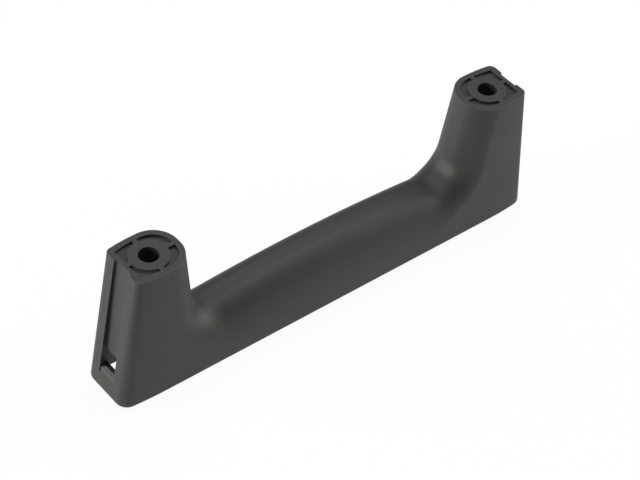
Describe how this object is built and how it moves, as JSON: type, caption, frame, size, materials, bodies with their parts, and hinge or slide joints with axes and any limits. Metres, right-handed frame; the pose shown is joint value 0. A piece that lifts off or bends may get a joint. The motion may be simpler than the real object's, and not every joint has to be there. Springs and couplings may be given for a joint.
{
  "type": "bridge pull handle",
  "caption": "One-piece moulded bridge pull handle with two upright legs, a rounded grip and screw passages through the legs.",
  "frame": {"origin": "middle of the front face that the handle lies on, under the centre of the grip", "axes": "+X along the grip from one screw axis to the other, +Y across the grip, +Z from the front face towards the mounting faces"},
  "size_m": [0.163, 0.0208, 0.05],
  "materials": {
    "moulding": "black glass-fibre reinforced polyamide, fine matt texture"
  },
  "bodies": {
    "root": {"handle": "moulding"}
  },
  "joints": []
}
